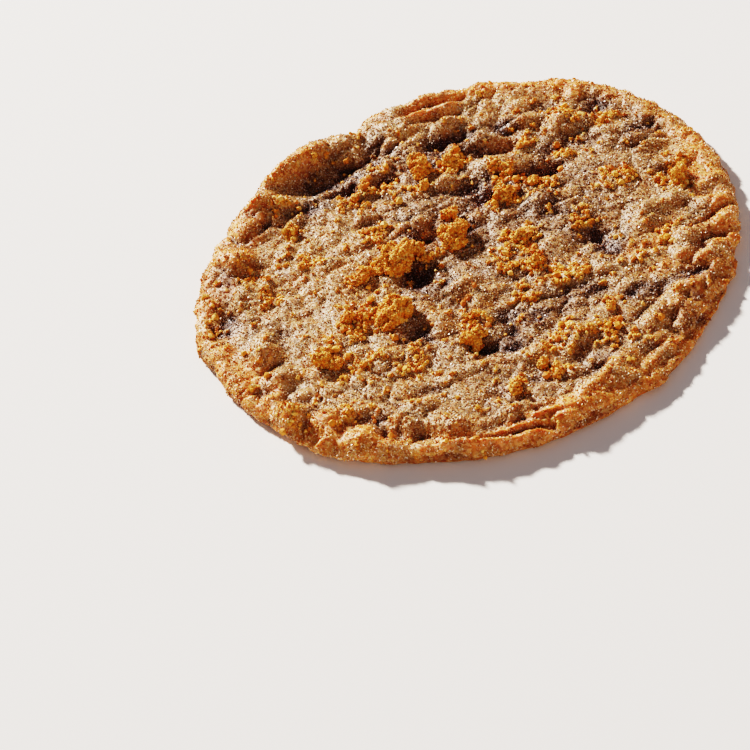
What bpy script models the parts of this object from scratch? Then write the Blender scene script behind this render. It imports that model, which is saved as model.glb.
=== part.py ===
"""A thin crisp cookie, modelled as one baked solid.

The dough has spread flat on a tray, so the underside is flat with a rounded edge. The top has
crinkled: a raised lip runs round the rim and folds over itself in places, blisters stand up
where the dough puffed, and pockets lie where it sank again.

Units are metres, +Z is up, and the origin is the middle of the flat underside.
"""

import math

import bmesh
import bpy
from mathutils import Vector, noise

MM = 0.001

# Driving sizes, in millimetres.
RADIUS = 36.2  # the mean radius of the baked disc
MIDDLE = 2.4  # thickness where the top is neither blistered nor sunken
LEAST_THICKNESS = 0.9  # at the bottom of the deepest pocket
LIP_CREST = 0.45  # how far the lip stands above the middle
LIP_INSET = 1.6  # from the rim to the lip's crest
LIP_WIDTH = 1.8
RIM_DROP = 1.5  # from the lip's level down to the widest part of the rim
RIM_FALL = 2.0  # how far in from the rim that drop begins
RIM_STEEPENING = 1.5  # the power by which the drop grows towards the rim
CALM_RIM = 0.5  # the share of the blisters and crinkles that is left at the rim edge
CALM_WIDTH = 1.8  # how far in from the rim they reach their full height

# Random crinkles: (height, spacing). The coarse ones are ridged, the fine ones are ripples.
CRINKLES = (0.6, 5.6)
RIPPLES = (0.3, 2.8)
RIDGE_SHAPE = (1.0, 2.1, 3, 0.9, 1.6)  # fractal fade, step, octaves, offset and gain

# Random unevenness of the outline: (depth, waves round the rim).
WAVES = ((0.30, 5.0), (0.16, 16.0))

RINGS = 30  # of triangles, from the middle of the top out to the rim
SIDES = 6  # of the flat polygon that is rounded into the top

# The wall under the upper rim edge, from the top down, as (inset, height).
WALL = ((0.05, 0.65), (0.4, 0.3), (1.1, 0.08), (2.2, 0.0))

CRUST_COLOUR = (0.47, 0.25, 0.10, 1.0)
CRUST_ROUGHNESS = 0.62

# Lobes of the outline: (angle in degrees, half width in degrees, depth in millimetres).
# A minus depth is a notch, where two puffs of dough meet.
LOBES = (
    (178.0, 15.0, 0.8),
    (153.0, 3.5, 0.5),
    (148.5, 3.5, -0.9),
    (139.0, 5.5, -1.6),
    (118.0, 8.0, 1.2),
    (107.5, 6.5, -2.3),
    (94.0, 7.0, -1.1),
    (80.0, 4.5, -1.4),
    (50.0, 22.0, 0.6),
    (64.0, 9.0, -0.5),
    (10.0, 24.0, -0.3),
    (-13.0, 3.0, -0.3),
    (-22.0, 7.0, -0.7),
    (-34.0, 8.0, -0.6),
    (-44.0, 3.5, -0.4),
    (-60.0, 13.0, 0.4),
    (-80.0, 75.0, 0.8),
    (-110.0, 16.0, -0.5),
    (-146.0, 16.0, -0.4),
)

# Blisters and pockets of the top: (x, y, half length, half width, turn in degrees, height),
# in millimetres. A minus height is a pocket.
SWELLS = (
    # along the left rim
    (-29.8, 10.0, 4.2, 5.0, 0.0, 1.7),
    (-26.2, 16.8, 4.0, 3.4, 30.0, 1.5),
    (-24.3, 20.8, 3.0, 2.8, 0.0, 1.2),
    (-28.6, 3.6, 3.2, 2.8, 0.0, 0.9),
    (-28.2, -7.4, 2.8, 3.6, -5.0, 1.2),
    (-32.4, 0.8, 2.2, 4.6, 5.0, -0.9),
    (-28.0, -10.6, 2.6, 1.8, 0.0, -0.7),
    # the deep pocket under the upper left rim, and what stands round it
    (-15.0, 24.4, 6.6, 4.4, 15.0, -1.9),
    (-9.0, 25.4, 3.0, 2.2, 25.0, -1.2),
    (-11.5, 28.2, 2.6, 2.2, 0.0, 0.8),
    # the upper rim
    (-4.6, 29.8, 4.2, 3.2, 0.0, 0.9),
    (2.8, 26.4, 3.0, 2.6, 0.0, 0.9),
    (12.2, 22.6, 4.2, 2.1, -10.0, 1.1),
    (7.0, 22.0, 3.0, 2.3, 0.0, 0.8),
    (1.0, 23.4, 4.2, 2.3, 0.0, -1.1),
    (8.0, 18.9, 5.5, 2.2, 0.0, -1.2),
    (17.9, 19.8, 3.7, 3.5, 0.0, 1.3),
    (16.0, 25.8, 2.1, 2.4, 0.0, -0.9),
    (22.8, 21.6, 2.8, 2.2, 0.0, -1.1),
    # the right side
    (8.0, 14.8, 5.4, 3.0, -10.0, 1.1),
    (3.0, 12.0, 3.0, 2.3, 0.0, -1.3),
    (13.0, 12.0, 4.6, 2.2, -5.0, -1.3),
    (17.5, 16.0, 2.8, 1.9, 20.0, -0.8),
    (25.4, 13.6, 5.6, 2.8, -50.0, 1.2),
    (29.2, 13.0, 2.6, 1.9, -60.0, -0.8),
    (24.2, -3.2, 5.4, 3.2, 15.0, 1.0),
    (16.8, -4.6, 2.4, 3.8, 20.0, -1.1),
    (27.4, -10.6, 3.0, 4.0, -20.0, 0.8),
    (32.6, -5.0, 2.4, 1.9, 15.0, 0.9),
    (32.6, -8.9, 3.0, 1.9, 20.0, 0.9),
    (30.8, -11.4, 3.2, 1.9, 15.0, -0.9),
    (27.2, -16.0, 3.4, 2.1, 15.0, -1.1),
    # the middle
    (-5.6, 6.8, 3.6, 3.4, 0.0, 1.1),
    (-1.4, -6.9, 3.8, 3.2, 10.0, 1.0),
    (12.4, 4.8, 3.2, 3.2, 0.0, 1.2),
    (12.2, -4.2, 3.0, 2.6, 0.0, 1.0),
    (-6.8, -1.8, 3.4, 2.6, 0.0, -1.0),
    (-8.2, -12.2, 2.6, 2.2, 0.0, -0.8),
    (2.4, -16.0, 2.6, 4.6, 10.0, -1.0),
    # the lower left and the near rim
    (-26.6, -13.4, 3.0, 2.4, 0.0, 1.0),
    (-26.8, -20.6, 3.4, 3.8, 20.0, 1.1),
    (-21.0, -24.0, 3.6, 2.8, 0.0, 1.1),
    (-18.2, -28.6, 3.0, 3.0, 0.0, 1.3),
    (-13.0, -28.0, 2.8, 2.6, 0.0, 0.8),
    (12.4, -22.4, 4.6, 3.2, 0.0, 1.0),
    (4.6, -23.0, 3.4, 2.6, 0.0, 0.9),
    (11.0, -26.0, 2.2, 2.0, 0.0, -0.8),
)

# Folds that run round near the rim, as arcs: (radius at the start, radius at the end, start and
# end angle in degrees, half width, height). A minus height is the crease beside a fold.
FOLDS = (
    (33.4, 33.6, 108.0, 148.0, 2.4, 1.2),
    (33.4, 33.2, 74.0, 99.0, 1.9, 0.8),
    (31.9, 31.9, 76.0, 97.0, 1.9, -0.7),
    (30.3, 30.3, 78.0, 95.0, 1.9, 0.8),
    (32.2, 30.4, -28.0, -52.0, 2.2, 1.1),
    (30.4, 33.6, -48.0, -76.0, 2.2, 1.1),
    (34.4, 33.6, -34.0, -64.0, 1.9, -0.8),
    (34.2, 32.4, -78.0, -120.0, 1.9, -0.7),
    (35.0, 34.8, -76.0, -134.0, 1.9, 0.6),
)


def bump(distance):
    """A smooth hill: 1 at distance 0, down to 0 at distance 1 with no edge."""
    return (1.0 - distance * distance) ** 2 if distance < 1.0 else 0.0


def turn_between(start, end):
    """The signed turn from one angle to another in degrees, between -180 and 180."""
    return (end - start + 180.0) % 360.0 - 180.0


def around(angle, radius=1.0, height=0.0):
    """The point at this angle in degrees, this far from the middle and this high."""
    turn = math.radians(angle)
    return Vector((math.cos(turn) * radius, math.sin(turn) * radius, height))


def rim_radius(angle):
    """The outline's radius at this angle, in millimetres."""
    radius = RADIUS
    for centre, half_width, depth in LOBES:
        radius += depth * bump(abs(turn_between(centre, angle)) / half_width)
    for depth, waves in WAVES:
        radius += depth * noise.noise(around(angle, waves))
    return radius


def swells_at(x, y):
    """The height that the blisters and pockets add at a point."""
    height = 0.0
    for middle_x, middle_y, half_length, half_width, turn, rise in SWELLS:
        axis = around(turn)
        along = (x - middle_x) * axis.x + (y - middle_y) * axis.y
        across = (y - middle_y) * axis.x - (x - middle_x) * axis.y
        height += rise * bump(math.hypot(along / half_length, across / half_width))
    return height


def folds_at(radius, angle):
    """The height that the folds and creases near the rim add at a polar place."""
    height = 0.0
    for start_radius, end_radius, start, end, half_width, rise in FOLDS:
        share = turn_between(start, angle) / (end - start)
        if 0.0 < share < 1.0:
            middle = start_radius + (end_radius - start_radius) * share
            fade = 1.0 - (2.0 * share - 1.0) ** 4
            height += rise * fade * bump(abs(radius - middle) / half_width)
    return height


def crinkles_at(x, y):
    """The height that the random crinkles and ripples add at a point."""
    height, spacing = CRINKLES
    ridged = noise.ridged_multi_fractal(Vector((x, y, 0.0)) / spacing, *RIDGE_SHAPE)
    ripple_height, ripple_spacing = RIPPLES
    ripple = noise.noise(Vector((x, y, 0.0)) / ripple_spacing)
    return height * (ridged - 1.0) + ripple_height * ripple


def top_point(share, angle):
    """A point of the top, this share of the way out from the middle to the rim."""
    inset = rim_radius(angle) * (1.0 - share)
    point = around(angle, rim_radius(angle) * share)
    lip = LIP_CREST * bump(abs(inset - LIP_INSET) / LIP_WIDTH)
    fall = RIM_DROP * (1.0 - min(1.0, inset / RIM_FALL)) ** RIM_STEEPENING
    calm = min(1.0, CALM_RIM + (1.0 - CALM_RIM) * inset / CALM_WIDTH)
    relief = swells_at(point.x, point.y) + crinkles_at(point.x, point.y)
    relief += folds_at(point.length, angle)
    least = min(LEAST_THICKNESS, MIDDLE - RIM_DROP + inset)
    point.z = max(least, MIDDLE + lip - fall + calm * relief)
    return point * MM


def place_in_disc(corner):
    """Where a point of the flat hexagon belongs in a disc: (share of the radius, angle).

    The hexagon's first corner is at 90 degrees. In each sector between two corners, a row of
    points that lies level with the hexagon's side becomes an arc.
    """
    sector_angle = 360.0 / SIDES
    turn = (math.degrees(math.atan2(corner.y, corner.x)) - 90.0) % 360.0
    sector = int(turn / sector_angle + 0.001) % SIDES
    axis = around(90.0 + sector_angle * sector)
    along = corner.x * axis.x + corner.y * axis.y
    across = corner.y * axis.x - corner.x * axis.y
    share = along + across * math.tan(math.radians(sector_angle / 2.0))
    step = across / (share * math.sin(math.radians(sector_angle))) if share > 0.001 else 0.0
    return share, 90.0 + sector_angle * (sector + step)


def baked_dough():
    """The cookie: a hexagon of triangles rounded into the top, then walled and closed below."""
    dough = bmesh.new()
    bmesh.ops.create_circle(dough, cap_ends=True, cap_tris=True, segments=SIDES, radius=1.0)
    bmesh.ops.subdivide_edges(dough, edges=dough.edges[:], cuts=RINGS - 1, use_grid_fill=True)
    for corner in dough.verts:
        corner.co = top_point(*place_in_disc(corner.co))
    edge_loop = [edge for edge in dough.edges if edge.is_boundary]
    for inset, height in WALL:
        extruded = bmesh.ops.extrude_edge_only(dough, edges=edge_loop)["geom"]
        edge_loop = [item for item in extruded if isinstance(item, bmesh.types.BMEdge)]
        for corner in extruded:
            if isinstance(corner, bmesh.types.BMVert):
                angle = math.degrees(math.atan2(corner.co.y, corner.co.x))
                corner.co = around(angle, rim_radius(angle) - inset, height) * MM
    bmesh.ops.contextual_create(dough, geom=edge_loop)
    bmesh.ops.recalc_face_normals(dough, faces=dough.faces[:])
    mesh = bpy.data.meshes.new("cookie")
    dough.to_mesh(mesh)
    dough.free()
    return mesh


def crust():
    """Browned crust: matt, with the warm brown of baked dough."""
    material = bpy.data.materials.new("browned crust")
    material.use_nodes = True
    shader = material.node_tree.nodes["Principled BSDF"]
    shader.inputs["Base Color"].default_value = CRUST_COLOUR
    shader.inputs["Roughness"].default_value = CRUST_ROUGHNESS
    shader.inputs["Metallic"].default_value = 0.0
    return material


for stale in list(bpy.data.objects):
    bpy.data.objects.remove(stale)

cookie = bpy.data.objects.new("cookie", baked_dough())
bpy.context.collection.objects.link(cookie)
cookie.data.materials.append(crust())
cookie.data.shade_smooth()
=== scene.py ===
import math

import bpy
import numpy as np
from mathutils import Matrix, Vector, noise


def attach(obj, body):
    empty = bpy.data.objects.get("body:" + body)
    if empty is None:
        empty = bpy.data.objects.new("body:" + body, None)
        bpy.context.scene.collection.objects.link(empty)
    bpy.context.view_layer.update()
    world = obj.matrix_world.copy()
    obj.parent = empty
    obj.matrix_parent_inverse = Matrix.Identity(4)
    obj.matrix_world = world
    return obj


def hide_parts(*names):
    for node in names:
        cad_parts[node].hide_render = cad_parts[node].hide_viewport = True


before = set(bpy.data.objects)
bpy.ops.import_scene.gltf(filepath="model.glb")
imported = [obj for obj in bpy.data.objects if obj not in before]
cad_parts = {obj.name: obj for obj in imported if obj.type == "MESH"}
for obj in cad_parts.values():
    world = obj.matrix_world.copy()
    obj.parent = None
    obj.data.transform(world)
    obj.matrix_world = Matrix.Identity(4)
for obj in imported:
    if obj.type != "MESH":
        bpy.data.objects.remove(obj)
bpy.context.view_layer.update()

# ---------------------------------------------------------------------------------------------
# The studio: a sheet of white card, a small low lamp behind on the left that rakes over the top
# and makes the sugar sparkle, and a weak warm lamp in front and a dim room that keep the shadows
# from going black. The tones are drawn with a high contrast, as hard sunlight gives.

# Angles are in degrees, distances and sizes in metres, and powers in watts.
MM = 0.001
KEY_AZIMUTH, KEY_ELEVATION, KEY_DISTANCE = 117.0, 28.0, 2.0
KEY_SIZE, KEY_POWER, KEY_COLOUR = 0.16, 100.0, "FFF4E8"
FILL_AZIMUTH, FILL_ELEVATION, FILL_DISTANCE = -60.0, 18.0, 1.2
FILL_SIZE, FILL_POWER, FILL_COLOUR = 0.8, 4.4, "FFE2C8"
ROOM_COLOUR, ROOM_STRENGTH = "F6F2FF", 0.14
WALL_STRENGTH = 0.8  # the pale wall behind the card, which only the camera sees
CARD_COLOUR, CARD_SIZE, CARD_ROUGHNESS = "FCFCFC", 3.0, 0.9


def linear(code):
    """The linear colour of an sRGB hex code such as "C98A3C"."""
    parts = [int(code[at : at + 2], 16) / 255.0 for at in (0, 2, 4)]
    return tuple(p / 12.92 if p <= 0.04045 else ((p + 0.055) / 1.055) ** 2.4 for p in parts)


def add_node(tree, kind, inputs=None, stops=(), **settings):
    """Adds a node and returns it. Its inputs take a value, a socket or another node.

    The stops are a colour ramp's, as positions with sRGB hex colours.
    """
    added = tree.nodes.new(kind)
    for name, value in settings.items():
        setattr(added, name, value)
    sockets = {socket.identifier: socket for socket in added.inputs}
    for name, value in (inputs or {}).items():
        socket = sockets[name] if name in sockets else added.inputs[name]
        if isinstance(value, bpy.types.Node):
            value = value.outputs[0]
        if isinstance(value, bpy.types.NodeSocket):
            tree.links.new(value, socket)
        else:
            socket.default_value = value
    for index, (position, code) in enumerate(stops):
        elements = added.color_ramp.elements
        element = elements[index] if index < 2 else elements.new(position)
        element.position = position
        element.color = (*linear(code), 1.0)
    return added


def new_material(name, roughness):
    """A material with one Principled shader: the material, its node tree and the shader."""
    material = bpy.data.materials.new(name)
    material.use_nodes = True
    shader = material.node_tree.nodes["Principled BSDF"]
    shader.inputs["Roughness"].default_value = roughness
    return material, material.node_tree, shader


def direction(azimuth, elevation):
    """The unit vector towards this azimuth, from +X towards +Y, and elevation, in degrees."""
    turn, rise = math.radians(azimuth), math.radians(elevation)
    level = math.cos(rise)
    return Vector((math.cos(turn) * level, math.sin(turn) * level, math.sin(rise)))


def add_lamp(name, towards, distance, size, power, colour):
    """A round soft box that looks back at the middle of the card."""
    bpy.ops.object.light_add(type="AREA", location=towards * distance)
    lamp = bpy.context.object
    lamp.name = name
    lamp.rotation_euler = towards.to_track_quat("Z", "Y").to_euler()
    lamp.data.shape = "DISK"
    lamp.data.size = size
    lamp.data.energy = power
    lamp.data.color = linear(colour)


bpy.ops.object.select_all(action="DESELECT")
key_place = direction(KEY_AZIMUTH, KEY_ELEVATION)
fill_place = direction(FILL_AZIMUTH, FILL_ELEVATION)
add_lamp("key_lamp", key_place, KEY_DISTANCE, KEY_SIZE, KEY_POWER, KEY_COLOUR)
add_lamp("fill_lamp", fill_place, FILL_DISTANCE, FILL_SIZE, FILL_POWER, FILL_COLOUR)

room = bpy.data.worlds.new("studio")
room.use_nodes = True
room_tree = room.node_tree
room_light = room_tree.nodes["Background"]
room_light.inputs["Color"].default_value = (*linear(ROOM_COLOUR), 1.0)
room_light.inputs["Strength"].default_value = ROOM_STRENGTH
inputs = {"Color": (*linear(CARD_COLOUR), 1.0), "Strength": WALL_STRENGTH}
back_wall = add_node(room_tree, "ShaderNodeBackground", inputs)
ray = add_node(room_tree, "ShaderNodeLightPath")
inputs = {0: ray.outputs["Is Camera Ray"], 1: room_light, 2: back_wall}
seen = add_node(room_tree, "ShaderNodeMixShader", inputs)
room_tree.links.new(seen.outputs[0], room_tree.nodes["World Output"].inputs["Surface"])
bpy.context.scene.world = room
bpy.context.scene.view_settings.view_transform = "Filmic"
bpy.context.scene.view_settings.look = "Very High Contrast"

# Matt card: it stays even and pale, and takes the cast shadow softly.
card, card_tree, card_shader = new_material("matt white card", CARD_ROUGHNESS)
card_shader.inputs["Base Color"].default_value = (*linear(CARD_COLOUR), 1.0)
bpy.ops.mesh.primitive_plane_add(size=CARD_SIZE)
floor = bpy.context.object
floor.name = "floor"
floor.data.materials.append(card)

# The camera looks down on the cookie with a long lens, rolled a little. The cookie's middle
# stands right of and above the picture's middle, so the camera is aimed past it.
IMAGE = 750.0  # the picture's width and height, in pixels
LENS, SENSOR = 120.0, 36.0
AIM = Vector((0.0, 0.0, 1.3)) * MM
AIM_PIXEL = (464.8, 256.7)  # where the aim shows in the picture, from its upper left
CAMERA_AZIMUTH, CAMERA_ELEVATION, CAMERA_ROLL = -90.0, 39.9, 16.77
CAMERA_DISTANCE = 0.32475
NEAREST, FARTHEST = 0.01, 10.0  # what the camera can see

bpy.ops.object.camera_add()
camera = bpy.context.object
camera.data.lens = LENS
camera.data.sensor_width = SENSOR
camera.data.clip_start = NEAREST
camera.data.clip_end = FARTHEST
to_camera = direction(CAMERA_AZIMUTH, CAMERA_ELEVATION)
facing = to_camera.to_track_quat("Z", "Y").to_matrix()
facing = facing @ Matrix.Rotation(math.radians(-CAMERA_ROLL), 3, "Z")
focal_pixels = IMAGE * LENS / SENSOR
sideways = (AIM_PIXEL[0] - IMAGE / 2.0) / focal_pixels
upwards = (IMAGE / 2.0 - AIM_PIXEL[1]) / focal_pixels
line_of_sight = Vector((sideways, upwards, -1.0))
facing = facing @ line_of_sight.rotation_difference(Vector((0.0, 0.0, -1.0))).to_matrix()
camera.matrix_world = Matrix.Translation(AIM + to_camera * CAMERA_DISTANCE) @ facing.to_4x4()
bpy.context.scene.camera = camera

# ---------------------------------------------------------------------------------------------
# The baked dough: one piece, spread thin and baked until its sugar browned. Its top has
# crinkled into lumps, folds and creases, and its underside is flat from the tray.

# Lumps and dips between the coarse ones of the solid: (x, y, half length, half width, height,
# and a turn in degrees where there is one), in millimetres.
LUMPS = (
    # the left rim
    (-17.6, 17.2, 2.2, 1.5, -0.4), (-21.2, 20.2, 2.0, 1.6, 0.8, 60),
    (-23.6, 21.4, 2.2, 1.4, 0.3, 40), (-22.8, 20.4, 0.5, 1.7, -0.6, 10),
    (-23.4, 20.0, 3.2, 2.4, 1.1, 45), (-20.2, 16.4, 2.0, 1.2, 0.6, 30),
    (-24.6, 16.6, 0.7, 2.4, -0.6, -35), (-22.0, 13.8, 1.2, 1.0, 0.6),
    (-26.4, 15.6, 0.9, 2.2, -0.2, -50), (-29.0, 15.9, 0.5, 1.7, -0.7, 20),
    (-29.8, 12.4, 3.0, 3.4, 0.7), (-28.6, 10.2, 2.4, 2.0, 0.5), (-28.8, 4.4, 1.9, 1.9, 0.5),
    (-31.8, 0.6, 1.4, 2.0, -0.4), (-34.0, -0.4, 0.8, 2.2, -0.7, 10), (-33.4, -1.6, 1.4, 1.8, -0.4),
    (-31.0, -1.8, 1.6, 1.8, -0.3), (-24.6, -5.8, 2.2, 1.6, -0.4), (-27.4, -8.4, 1.8, 1.8, 0.5),
    (-28.4, -9.8, 2.4, 1.8, 0.4), (-27.6, -11.0, 2.2, 0.8, -0.8, 10),
    (-28.6, -15.8, 2.2, 1.5, -0.3), (-28.0, -17.0, 1.8, 1.8, 0.6), (-24.6, -17.6, 1.6, 1.4, 0.6),
    (-27.6, -21.8, 2.4, 1.8, 0.4, -60), (-26.6, -21.8, 2.4, 1.6, 0.3, 35),
    (-25.4, -21.6, 2.6, 1.8, 0.4, -50), (-25.6, -21.8, 2.4, 1.8, 0.3, -60),
    (-26.5, -22.6, 2.2, 1.8, 0.6), (-24.6, -21.8, 2.6, 1.9, 0.4), (-19.6, -17.8, 2.6, 1.9, 0.4),
    # the far rim
    (18.0, 19.8, 1.4, 1.2, 0.4), (20.6, 25.2, 2.0, 1.6, 0.6, -40),
    (16.4, 24.2, 2.2, 1.4, -0.2, -20), (12.0, 22.0, 2.8, 1.0, 0.6, -8),
    (11.4, 21.2, 2.2, 1.4, -0.3, -20), (11.4, 22.2, 2.2, 1.4, -0.3, -20),
    (11.4, 23.2, 2.2, 1.2, -0.3), (12.8, 26.6, 2.0, 1.6, 0.5), (10.4, 22.2, 2.6, 1.6, -0.5, -20),
    (8.0, 25.2, 1.8, 1.4, 0.7), (3.4, 26.2, 2.2, 1.4, 0.3), (3.8, 30.2, 1.4, 1.1, 0.4),
    (3.4, 27.2, 2.4, 1.6, 0.5), (2.6, 26.4, 2.0, 1.8, 0.4), (2.6, 31.7, 3.0, 0.7, -0.4, -15),
    (2.0, 29.0, 3.2, 0.7, -0.4, -8), (2.0, 30.3, 3.4, 1.1, 0.5, -4), (-0.6, 30.8, 1.5, 1.2, 0.3),
    (-1.8, 26.2, 1.6, 1.9, 0.6), (-2.6, 28.2, 3.0, 1.6, 0.5), (-2.4, 24.6, 3.0, 1.6, 0.5),
    (-3.6, 27.4, 2.4, 1.5, 0.4), (-5.4, 26.8, 1.3, 1.9, 0.6, 10), (-5.6, 24.2, 2.2, 1.4, -0.3),
    (-6.6, 27.2, 2.6, 1.4, -0.5), (-7.4, 25.6, 0.9, 1.6, -0.9, -20), (-8.6, 23.2, 2.2, 1.4, -0.5),
    (-9.9, 26.4, 1.3, 1.8, 0.8), (-11.6, 25.0, 2.6, 1.0, -1.0, -30),
    (-15.2, 24.6, 2.4, 2.8, 0.9, 20), (-15.5, 23.6, 6.5, 3.6, -0.7, 15),
    (-18.0, 18.2, 2.0, 1.6, -0.5),
    # the right rim
    (19.0, -17.0, 2.4, 1.0, -0.4, 20), (22.4, -17.6, 2.2, 1.3, -0.4, 20),
    (24.4, -17.8, 1.8, 1.2, -0.3), (26.4, -17.8, 1.8, 1.2, -0.3), (28.0, -16.6, 1.8, 0.9, -0.4, 20),
    (27.4, -14.8, 2.2, 1.3, 0.4, 40), (26.6, -13.2, 1.6, 1.2, 0.5), (33.0, -12.6, 1.2, 1.4, 0.6),
    (30.4, -10.9, 2.4, 0.8, -0.3, 8), (24.4, -5.8, 2.2, 1.6, 0.4), (31.8, -7.0, 2.6, 0.6, -0.4, 22),
    (28.0, -2.0, 2.2, 1.6, 0.5, -30), (30.6, 0.2, 0.6, 1.5, -0.8), (29.6, 1.8, 2.0, 1.1, 0.7, 60),
    (28.4, 4.2, 1.8, 1.4, -0.3), (26.4, 11.2, 2.0, 1.4, -0.3), (26.5, 12.2, 1.8, 1.4, 0.5, -50),
    (26.4, 13.2, 1.8, 1.4, -0.4), (28.8, 14.8, 1.0, 1.5, -0.7, -30),
    (22.5, 15.2, 2.4, 1.6, 0.5, -40), (20.4, 14.2, 1.8, 1.4, -0.3), (21.4, 18.2, 2.2, 1.4, 0.3),
    (20.4, 18.2, 2.2, 1.5, 0.3, -40), (24.6, 22.2, 1.6, 1.2, 0.6, -50),
    (22.2, 20.4, 1.8, 1.1, -0.4, -20), (18.8, 17.4, 1.6, 1.0, 0.4),
    (20.4, 19.2, 2.2, 1.5, 0.4, -40),
    # the near rim
    (-22.4, -23.6, 1.8, 1.5, 0.6), (-24.6, -26.6, 2.8, 1.6, 0.4, -40),
    (-24.0, -26.0, 2.4, 0.9, -0.8, 10), (-24.6, -26.8, 2.2, 1.2, 0.3, 40),
    (-23.4, -26.6, 2.6, 1.8, 0.5, -40), (-18.6, -24.0, 2.0, 1.5, 0.6),
    (-21.6, -29.8, 2.4, 1.4, 0.4, -30), (-16.6, -23.8, 2.2, 1.4, 0.3),
    (-20.6, -29.6, 2.8, 1.6, 0.4, -30), (-15.6, -26.8, 2.2, 1.4, -0.3, -20),
    (-15.6, -28.6, 0.8, 1.8, -0.8, 10), (-13.0, -27.0, 1.8, 1.6, 0.6),
    (-13.8, -29.8, 0.8, 1.6, -0.5, -5), (-9.6, -22.8, 2.2, 1.4, -0.3),
    (-10.6, -25.8, 2.6, 1.9, 0.5), (-9.4, -23.8, 2.2, 1.4, -0.6), (-11.8, -30.6, 0.9, 1.6, -0.5),
    (-9.6, -26.0, 2.0, 1.4, 0.3), (-7.6, -23.8, 2.0, 1.2, -0.3), (-8.6, -29.8, 3.6, 1.6, 0.8, -22),
    (-8.6, -31.6, 2.4, 1.4, 0.3, -15), (-6.6, -31.6, 2.6, 1.6, 0.4, -15),
    (-6.6, -31.8, 2.4, 1.4, 0.3, -10), (-5.6, -33.2, 2.8, 0.7, -0.7, -32),
    (-0.6, -27.8, 2.2, 1.4, -0.3), (0.4, -35.6, 2.0, 1.0, -0.2), (0.5, -30.8, 2.6, 1.2, 0.6),
    (0.6, -34.8, 4.4, 0.6, -1.0, -3), (1.4, -31.8, 2.6, 1.4, 0.4), (4.6, -33.0, 3.6, 1.0, 0.7, 8),
    (4.4, -27.8, 2.0, 1.3, -0.3), (6.4, -34.9, 2.6, 0.8, 0.8, -14), (7.4, -29.8, 2.8, 1.6, 0.4, 15),
    (7.4, -24.8, 2.2, 1.5, 0.4), (8.6, -28.0, 1.8, 1.4, 0.7), (11.4, -28.8, 2.4, 1.4, -0.4, 20),
    (14.4, -34.8, 2.4, 1.2, 0.3, 25), (10.6, -25.2, 1.6, 1.8, -0.3), (11.2, -25.8, 1.4, 1.2, 0.4),
    (13.4, -30.8, 2.2, 1.4, 0.3, 30), (12.6, -27.8, 2.2, 1.4, -0.3, 20),
    (14.2, -30.8, 2.2, 1.4, 0.4, 30), (12.0, -21.2, 3.4, 1.6, 0.5),
    (15.4, -23.6, 1.2, 1.6, -0.4, -10), (16.4, -24.8, 2.0, 1.3, -0.3, 30),
    (20.4, -25.8, 2.4, 1.4, 0.4, 40), (23.2, -24.6, 1.8, 1.2, 0.5, 40),
    # the middle, far left
    (-13.6, 19.4, 3.0, 1.8, -0.7, 10), (-12.6, 20.2, 2.2, 1.4, -0.3),
    (-9.0, 20.4, 2.2, 1.8, 0.8, 20), (-6.6, 21.8, 1.0, 1.6, 0.7), (-6.6, 18.2, 2.0, 1.3, -0.3),
    (-0.6, 19.4, 2.2, 1.4, -0.5), (-0.2, 21.4, 3.0, 1.4, -0.5, 10),
    (-10.8, 11.2, 2.8, 1.1, -0.7, 5), (-12.3, 6.9, 1.6, 1.3, 0.7), (-6.4, 7.6, 1.6, 1.3, 0.5),
    (-3.8, 7.4, 1.2, 1.2, 0.5), (-22.6, 3.2, 2.2, 1.6, 0.3), (-19.6, 4.2, 2.4, 1.8, 0.4),
    (-17.6, 5.2, 2.0, 1.4, 0.3), (-5.6, 5.2, 2.0, 1.4, -0.4), (-4.4, 4.4, 1.7, 1.2, -0.9),
    (-18.6, 0.2, 2.4, 1.8, 0.4), (-9.6, 0.2, 2.0, 1.4, -0.3), (-9.6, 0.4, 1.4, 1.0, -0.3),
    (-9.0, 0.0, 1.8, 1.2, -0.3),
    # the middle, far right
    (2.0, 23.4, 3.4, 1.4, -0.6, -15), (5.4, 23.2, 2.2, 1.4, -0.4), (2.6, 21.2, 1.5, 1.2, 0.7),
    (7.0, 19.6, 3.0, 1.3, -0.5, -25), (8.0, 18.6, 5.0, 1.6, -0.5), (0.4, 15.2, 2.6, 1.7, 0.4),
    (0.4, 14.2, 1.8, 1.2, 0.3), (0.6, 14.4, 2.4, 1.6, 0.4), (7.4, 16.2, 2.0, 1.4, 0.3),
    (14.4, 15.2, 2.0, 1.2, -0.3), (15.4, 14.2, 2.2, 1.5, -0.4), (7.4, 10.2, 2.0, 1.4, -0.3),
    (10.4, 13.2, 2.4, 1.4, 0.4), (13.0, 11.6, 4.6, 1.6, -0.7, -5), (3.2, 6.0, 1.2, 1.6, 0.5, 20),
    (5.0, 9.6, 3.0, 1.8, -0.9), (7.2, 8.2, 2.0, 1.3, 0.6), (14.4, 9.2, 2.0, 1.4, 0.3),
    (19.4, 6.2, 2.2, 1.5, -0.3), (1.2, 4.4, 1.8, 1.3, -0.4), (1.4, 4.0, 1.8, 1.2, -0.2),
    (6.6, 4.4, 2.0, 1.2, 0.5, 10), (8.4, 5.2, 2.2, 1.6, 0.4), (15.4, 3.6, 1.8, 1.3, 0.3),
    (15.4, 5.2, 2.0, 1.4, 0.3), (19.4, 2.2, 2.0, 1.3, -0.3),
    # the middle, near left
    (-17.6, -1.0, 2.4, 1.6, 0.3), (-15.6, -0.8, 2.2, 1.6, 0.3), (-14.6, -1.8, 2.4, 1.7, 0.4),
    (-2.6, -1.0, 2.0, 1.4, 0.4), (-22.4, -3.8, 2.2, 1.4, -0.3), (-20.6, -3.8, 2.2, 1.4, -0.3),
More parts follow.
